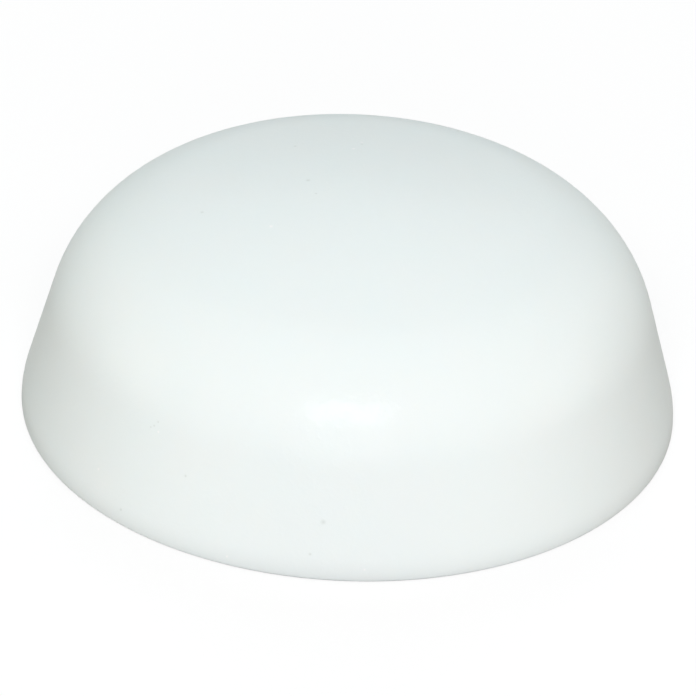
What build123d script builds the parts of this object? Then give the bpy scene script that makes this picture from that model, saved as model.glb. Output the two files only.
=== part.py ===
from build123d import *
from math import cos, radians, tan
import os

# Press-on cap of a two-piece screw cover: one thin-walled white moulding.
# A shallow crown runs through a large shoulder radius into a skirt that flares out to the rim.
# The cap stands on its rim, with +Z up its axis and the origin at the centre of the rim plane.
# Lengths are in millimetres and angles in degrees.

# Outside form
rim_diameter = 16.0
cap_height = 5.8
crown_radius = 22.0
shoulder_radius = 3.5
skirt_draft = 15.0
rim_edge_radius = 0.05

# Shell
wall_thickness = 1.0

# Snap bead, an inward ring that springs over the lip of the cup washer under the screw head
bead_height = 0.33
bead_land_length = 0.5
bead_land_start = 0.9
bead_lead_in_angle = 30.0
bead_retention_angle = 45.0

skirt_slope = tan(radians(skirt_draft))

# The rim's rounding trims the sharp foot of the skirt, so the foot lies outside the widest point
foot_overhang = rim_edge_radius * (tan(radians(45 + skirt_draft / 2)) - 1)
foot_radius = rim_diameter / 2 + foot_overhang


def dome_section(inset):
    """Half section of a dome that lies everywhere inset inside the outer skin.

    X is the radius and Y the height. The outer skin and the cavity are both cut from it, with
    the same arc centres, so the wall between them keeps one thickness round the shoulder.
    """
    height = cap_height - inset
    foot = foot_radius - inset / cos(radians(skirt_draft))
    skirt = Polygon(
        (0, 0),
        (foot, 0),
        (foot - height * skirt_slope, height),
        (0, height),
        align=None,
    )
    crown = Pos(0, cap_height - crown_radius) * Circle(crown_radius - inset)
    dome = skirt & crown
    shoulder = dome.vertices().filter_by(lambda corner: corner.X > 0 and corner.Y > 0)
    return fillet(shoulder, shoulder_radius - inset)


def snap_bead_section():
    """Half section of the bead: lead-in cone, short cylindrical land and retaining flank."""
    land_end = bead_land_start + bead_land_length
    land_middle = bead_land_start + bead_land_length / 2
    wall_at_land = foot_radius - wall_thickness / cos(radians(skirt_draft)) - land_middle * skirt_slope
    land_radius = wall_at_land - bead_height
    root_radius = foot_radius - wall_thickness / 2
    mouth_radius = land_radius + bead_land_start * tan(radians(bead_lead_in_angle))
    flank_end = land_end + (root_radius - land_radius) * tan(radians(bead_retention_angle))
    return Polygon(
        (mouth_radius, 0),
        (root_radius, 0),
        (root_radius, flank_end),
        (land_radius, land_end),
        (land_radius, bead_land_start),
        align=None,
    )


def cover_cap():
    """The whole moulding, turned from its half section about the axis."""
    skin = dome_section(0)
    shell = skin - dome_section(wall_thickness)
    section = shell + (snap_bead_section() & skin)
    rim_corner = section.vertices().group_by(Axis.Y)[0].sort_by(Axis.X)[-1]
    section = fillet(rim_corner, rim_edge_radius)
    return revolve(Plane.XZ * section, Axis.Z)


os.makedirs("parts", exist_ok=True)
export_step(cover_cap(), "parts/cover_cap.step")
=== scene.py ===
from math import atan2, ceil, cos, pi, radians, sin, sqrt, tan

import bmesh
import bpy
from mathutils import Matrix, Vector


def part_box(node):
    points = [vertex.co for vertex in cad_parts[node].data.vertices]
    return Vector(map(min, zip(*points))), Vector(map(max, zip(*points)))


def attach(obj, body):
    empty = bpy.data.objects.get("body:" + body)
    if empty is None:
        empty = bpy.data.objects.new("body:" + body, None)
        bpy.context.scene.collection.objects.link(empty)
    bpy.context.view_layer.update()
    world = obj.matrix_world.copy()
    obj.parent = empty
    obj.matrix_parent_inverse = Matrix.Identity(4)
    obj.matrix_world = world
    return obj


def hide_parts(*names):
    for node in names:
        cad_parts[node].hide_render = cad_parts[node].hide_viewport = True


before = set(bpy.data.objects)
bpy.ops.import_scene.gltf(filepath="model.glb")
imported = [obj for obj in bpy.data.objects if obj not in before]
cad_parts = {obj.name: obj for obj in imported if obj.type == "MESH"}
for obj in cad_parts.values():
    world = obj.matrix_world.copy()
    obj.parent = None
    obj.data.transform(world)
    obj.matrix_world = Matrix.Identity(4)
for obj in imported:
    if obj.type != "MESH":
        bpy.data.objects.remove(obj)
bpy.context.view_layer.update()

scene = bpy.context.scene
scene.view_settings.view_transform = "Standard"

# The cap is one injection moulding in white plastic. A shallow crown runs through a large
# shoulder radius into a skirt that flares out to a crisp rim, and a snap bead just inside the
# rim springs over the lip of the cup washer under the screw head. The wall is even all round.
low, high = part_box("cover_cap")
rim_radius = (high.x - low.x) / 2
cap_height = high.z - low.z
crown_radius = 0.022
shoulder_radius = 0.0035
skirt_draft = radians(15)
rim_rounding = 0.00005
rim_easing = 0.002
wall = 0.001
bead_land_radius = 0.006342
bead_land_start = 0.0009
bead_land_length = 0.0005
bead_lead_in = radians(30)
bead_retention = radians(45)
inner_edge_rounding = 0.00006
steps_round_the_cap = 288
longest_run = 0.0002
fewest_arc_steps = 6
same_point = 1e-7


def arc(centre, radius, start, end):
    """Points of an arc in the half section, as (radius, height)."""
    steps = max(fewest_arc_steps, ceil(abs(end - start) * radius / longest_run))
    turns = [start + (end - start) * k / steps for k in range(steps + 1)]
    return [Vector((centre.x + radius * cos(t), centre.y + radius * sin(t))) for t in turns]


def run(start, end):
    """Points of a straight run, close enough together to keep its shading flat."""
    steps = max(1, ceil((end - start).length / longest_run))
    return [start.lerp(end, k / steps) for k in range(steps + 1)]


def eased(before, corner, after, radius):
    """The small rounding that a mould leaves on the edge between two straight runs."""
    back = (before - corner).normalized()
    ahead = (after - corner).normalized()
    half = back.angle(ahead) / 2
    first = corner + back * (radius / tan(half))
    last = corner + ahead * (radius / tan(half))
    centre = corner + (back + ahead).normalized() * (radius / sin(half))
    begin = atan2(first.y - centre.y, first.x - centre.x)
    sweep = atan2(last.y - centre.y, last.x - centre.x) - begin
    sweep = (sweep + pi) % (2 * pi) - pi
    return arc(centre, radius, begin, begin + sweep)


# The skirt eases upright just above the rim, so its line meets the table outside the rim
slope = tan(skirt_draft)
foot = rim_radius + rim_easing * (1 / cos(skirt_draft) - 1) + rim_rounding * slope
crown_centre = Vector((0, cap_height - crown_radius))

# The shoulder's centre lies a shoulder radius inside both the skirt's line and the crown's arc.
# The climb follows a line parallel to the skirt, to where it crosses the crown's arc moved inwards.
outward = Vector((cos(skirt_draft), sin(skirt_draft)))
along = Vector((-sin(skirt_draft), cos(skirt_draft)))
offset = outward * (foot * cos(skirt_draft) - shoulder_radius) - crown_centre
reach = crown_radius - shoulder_radius
climb = -offset.dot(along) + sqrt(offset.dot(along) ** 2 - offset.dot(offset) + reach ** 2)
shoulder_centre = crown_centre + offset + along * climb
crown_edge = atan2(shoulder_centre.y - crown_centre.y, shoulder_centre.x)


def dome_line(inset):
    """The crown's and the shoulder's arcs from the axis outwards, inset inside the skin."""
    crown = arc(crown_centre, crown_radius - inset, pi / 2, crown_edge)
    shoulder = arc(shoulder_centre, shoulder_radius - inset, crown_edge, skirt_draft)
    return crown + shoulder[1:]


dome = dome_line(0)
easing = arc(Vector((rim_radius - rim_easing, rim_rounding)), rim_easing, skirt_draft, 0)
rim_turn = arc(Vector((rim_radius - rim_rounding, rim_rounding)), rim_rounding, 0, -pi / 2)
skin = dome + run(dome[-1], easing[0])[1:-1] + easing + rim_turn[1:]

inner_foot = foot - wall / cos(skirt_draft)
land_end = bead_land_start + bead_land_length
mouth = Vector((bead_land_radius + bead_land_start * tan(bead_lead_in), 0))
land_low = Vector((bead_land_radius, bead_land_start))
land_high = Vector((bead_land_radius, land_end))
flank_run = (inner_foot - land_end * slope - bead_land_radius) / (tan(bead_retention) + slope)
bead_root = Vector((bead_land_radius + flank_run * tan(bead_retention), land_end + flank_run))
cavity = dome_line(wall)[::-1]

half_section = list(skin)
corners = [skin[-1], mouth, land_low, land_high, bead_root, cavity[0]]
here = skin[-1]
for before, corner, after in zip(corners, corners[1:], corners[2:]):
    edge = eased(before, corner, after, inner_edge_rounding)
    half_section += run(here, edge[0])[1:-1] + edge
    here = edge[-1]
half_section += run(here, cavity[0])[1:-1] + cavity

lathe = bmesh.new()
ring = [lathe.verts.new((point.x, 0, point.y)) for point in half_section]
edges = [lathe.edges.new(pair) for pair in zip(ring, ring[1:])]
bmesh.ops.spin(
    lathe,
    geom=ring + edges,
    axis=(0, 0, 1),
    cent=(0, 0, 0),
    angle=2 * pi,
    steps=steps_round_the_cap,
    use_merge=True,
)
bmesh.ops.remove_doubles(lathe, verts=lathe.verts, dist=same_point)
bmesh.ops.recalc_face_normals(lathe, faces=lathe.faces)
for face in lathe.faces:
    face.smooth = True
cap_mesh = bpy.data.meshes.new("domed_cap")
lathe.to_mesh(cap_mesh)
lathe.free()
cap = bpy.data.objects.new("domed_cap", cap_mesh)
scene.collection.objects.link(cap)


def node(tree, kind, sockets, **settings):
    """Adds a shader node, with a value or another node's output in each socket given.

    A socket is given by its name, or by its number where others share the name.
    """
    made = tree.nodes.new("ShaderNode" + kind)
    for name, value in settings.items():
        setattr(made, name, value)
    for name, value in sockets.items():
        if isinstance(value, bpy.types.NodeSocket):
            tree.links.new(value, made.inputs[name])
        else:
            made.inputs[name].default_value = value
    return made


def blend(tree, share, first, second):
    """The colour that goes from the first to the second as the share goes from 0 to 1.

    A colour mix takes its share in socket 0 and its colours in 6 and 7, and gives the result in 2.
    """
    mixed = node(tree, "Mix", {0: share, 6: first, 7: second}, data_type="RGBA")
    return mixed.outputs[2]


def on_skin(azimuth, travel):
    """The point of the skin reached by going a given way down it from the crown's middle."""
    left = travel
    for above, below in zip(skin, skin[1:]):
        length = (below - above).length
        if left <= length:
            break
        left -= length
    place = above.lerp(below, left / length)
    return Vector((place.x * cos(azimuth), place.x * sin(azimuth), place.y))


def speck_mask(tree, position, specks):
    """One in the middle of each speck, fading to nothing at its edge and beyond."""
    mask = 0.0
    for azimuth, travel, width in specks:
        middle = on_skin(radians(azimuth), travel * millimetre)
        away = node(tree, "VectorMath", {0: position, 1: middle}, operation="DISTANCE")
        fade = {"Value": away.outputs["Value"], "From Min": width / 2 * millimetre, "From Max": 0}
        cover = node(tree, "MapRange", fade, interpolation_type="SMOOTHSTEP")
        mask = node(tree, "Math", {0: cover.outputs[0], 1: mask}, operation="MAXIMUM").outputs[0]
    return mask


# The plastic is two whites clouded into each other, under a fine even grain and a thin sheen.
# The grain stands out more in the sheen than in the body.
millimetre = 0.001
cool_white = (0.851, 0.918, 0.911, 1)
warm_white = (0.873, 0.91, 0.897, 1)
body_grain_depth = 0.0000015
sheen_grain_depth = 0.000006

# Small specks lie in it, each given as its azimuth in degrees, its way down the skin from the
# crown's middle and its width, both in millimetres
dark_speck_colour = (0.75, 0.8, 0.78, 1)
pale_speck_colour = (0.97, 0.98, 0.97, 1)
dark_specks = [
    (266.7, 9.95, 0.19),
    (144, 1.49, 0.16),
    (240.4, 9.52, 0.1),
    (264.8, 10.77, 0.11),
    (186.6, 3.76, 0.13),
    (119.1, 3.25, 0.12),
    (228.5, 11.01, 0.11),
    (168.1, 1.02, 0.1),
    (88.9, 3.04, 0.1),
    (231.1, 8.71, 0.07),
    (231.8, 8.64, 0.08),
    (232.5, 8.51, 0.08),
]
pale_specks = [
    (212, 2.4, 0.14),
    (93, 2.73, 0.12),
    (89, 3.17, 0.1),
    (233, 8.74, 0.08),
    (221.3, 10.39, 0.09),
    (250.4, 11.18, 0.09),
    (274.2, 11.09, 0.09),
]

plastic = bpy.data.materials.new("white_moulded_plastic")
plastic.use_nodes = True
tree = plastic.node_tree
position = node(tree, "TexCoord", {}).outputs["Object"]
cloud = node(tree, "TexNoise", {"Vector": position, "Scale": 600, "Detail": 2, "Roughness": 0.5})
grain = node(tree, "TexNoise", {"Vector": position, "Scale": 5200, "Detail": 2, "Roughness": 0.55})
polish = node(tree, "TexNoise", {"Vector": position, "Scale": 1500, "Detail": 3, "Roughness": 0.6})
body = blend(tree, cloud.outputs["Fac"], warm_white, cool_white)
body = blend(tree, speck_mask(tree, position, dark_specks), body, dark_speck_colour)
body = blend(tree, speck_mask(tree, position, pale_specks), body, pale_speck_colour)
roughness_range = {"From Min": 0.3, "From Max": 0.7, "To Min": 0.55, "To Max": 0.7}
roughness = node(tree, "MapRange", {"Value": polish.outputs["Fac"], **roughness_range})
pimple_range = {"Value": grain.outputs["Fac"], "From Min": 0.45, "From Max": 0.75}
pimples = node(tree, "MapRange", pimple_range, interpolation_type="SMOOTHSTEP")
body_grain = node(tree, "Bump", {"Height": pimples.outputs[0], "Distance": body_grain_depth})
sheen_grain = node(tree, "Bump", {"Height": pimples.outputs[0], "Distance": sheen_grain_depth})
shader = tree.nodes["Principled BSDF"]
tree.links.new(body, shader.inputs["Base Color"])
tree.links.new(roughness.outputs[0], shader.inputs["Roughness"])
tree.links.new(body_grain.outputs[0], shader.inputs["Normal"])
tree.links.new(sheen_grain.outputs[0], shader.inputs["Coat Normal"])
shader.inputs["Specular IOR Level"].default_value = 0.04
shader.inputs["Coat Weight"].default_value = 0.03
shader.inputs["Coat Roughness"].default_value = 0.15
shader.inputs["Coat IOR"].default_value = 2.5
shader.inputs["Subsurface Weight"].default_value = 0.15
shader.inputs["Subsurface Radius"].default_value = (1.0, 0.9, 0.8)
shader.inputs["Subsurface Scale"].default_value = 0.0008
cap_mesh.materials.append(plastic)

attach(cap, "root")
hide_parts("cover_cap")

# The floor is a plain white table top that the cap stands on. A glow that only the camera and
# reflections see lifts its matt grey paint to white, and the cap's shadow stays on it. It lies a
# hair below the rim, so that the two don't share a plane.
floor_size = 4
below_the_rim = -0.00002
table_grey = 0.2
table_glow = 0.82


def seen_directly(tree):
    """One for what the camera, a reflection or glass sees, and nothing for the light on the cap."""
    rays = node(tree, "LightPath", {})
    seen = 0.0
    for kind in ("Is Camera Ray", "Is Glossy Ray", "Is Transmission Ray"):
        seen = node(tree, "Math", {0: rays.outputs[kind], 1: seen}, operation="MAXIMUM").outputs[0]
    return seen


half = floor_size / 2
floor_mesh = bpy.data.meshes.new("floor")
floor_corners = [(-half, -half, 0), (half, -half, 0), (half, half, 0), (-half, half, 0)]
floor_mesh.from_pydata(floor_corners, [], [(0, 1, 2, 3)])
floor = bpy.data.objects.new("floor", floor_mesh)
floor.location.z = below_the_rim
scene.collection.objects.link(floor)

table = bpy.data.materials.new("white_table")
table.use_nodes = True
tree = table.node_tree
paint = tree.nodes["Principled BSDF"]
paint.inputs["Base Color"].default_value = (table_grey, table_grey, table_grey, 1)
paint.inputs["Roughness"].default_value = 0.9
paint.inputs["Specular IOR Level"].default_value = 0
glow = node(tree, "Emission", {"Strength": table_glow})
lifted = node(tree, "AddShader", {0: paint.outputs[0], 1: glow.outputs[0]})
surface = {0: seen_directly(tree), 1: paint.outputs[0], 2: lifted.outputs[0]}
table_top = node(tree, "MixShader", surface)
tree.links.new(table_top.outputs[0], tree.nodes["Material Output"].inputs["Surface"])
floor_mesh.materials.append(table)

# The room is white walls all round: white where the camera or a reflection sees them, and dim
# as a light on the cap, so that the lamps do the modelling.
room_light = 0.13
world = bpy.data.worlds.new("studio")
scene.world = world
world.use_nodes = True
tree = world.node_tree
brightness = {"Value": seen_directly(tree), "To Min": room_light, "To Max": 1.0}
level = node(tree, "MapRange", brightness)
walls = tree.nodes["Background"]
walls.inputs["Color"].default_value = (1, 1, 1, 1)
tree.links.new(level.outputs["Result"], walls.inputs["Strength"])

# Five lamps stand round the table: a wide soft box in front that does most of the lighting, a
# low one under it for the skirt, and weaker ones at both sides and behind that draw the edges.
# A lamp's level is the brightness that it alone gives a white card that faces it.
lamp_distance = 0.4
wide = (0.19, 0.11)
square = (0.22, 0.22)
lamps = {
    "front_lamp": dict(azimuth=270, elevation=40, level=0.625, size=wide, tint=(0.96, 0.98, 1)),
    "low_lamp": dict(azimuth=270, elevation=12, level=0.325, size=square, tint=(1, 0.94, 0.92)),
    "right_lamp": dict(azimuth=0, elevation=15, level=0.3, size=square, tint=(1, 0.95, 0.87)),
    "left_lamp": dict(azimuth=180, elevation=15, level=0.27, size=square, tint=(1, 0.98, 0.87)),
    "back_lamp": dict(azimuth=90, elevation=43, level=0.345, size=square, tint=(0.87, 0.96, 1)),
}
for name, lamp in lamps.items():
    light = bpy.data.lights.new(name, "AREA")
    light.shape = "RECTANGLE"
    light.size, light.size_y = lamp["size"]
    light.energy = lamp["level"] * (pi * lamp_distance) ** 2
    light.color = lamp["tint"]
    azimuth, elevation = radians(lamp["azimuth"]), radians(lamp["elevation"])
    towards = Vector((cos(elevation) * cos(azimuth), cos(elevation) * sin(azimuth), sin(elevation)))
    stand = bpy.data.objects.new(name, light)
    stand.location = towards * lamp_distance
    stand.rotation_euler = towards.to_track_quat("Z", "Y").to_euler()
    scene.collection.objects.link(stand)

# The camera looks down at the cap from the front, from about a hand's length away, and is held
# a little askew, as a camera held in the hand is.
camera_elevation = radians(31.49)
camera_roll = radians(2.68)
camera_distance = 0.176
aim = Vector((-0.00005, -0.00037, 0.0018))
camera = bpy.data.cameras.new("camera")
camera.lens = 373.3
camera.sensor_width = 36
camera.clip_start = 0.01
viewpoint = bpy.data.objects.new("camera", camera)
towards = Vector((0, -cos(camera_elevation), sin(camera_elevation)))
tilt = Matrix.Rotation(pi / 2 - camera_elevation, 4, "X") @ Matrix.Rotation(camera_roll, 4, "Z")
viewpoint.matrix_world = Matrix.Translation(aim + towards * camera_distance) @ tilt
scene.collection.objects.link(viewpoint)
scene.camera = viewpoint
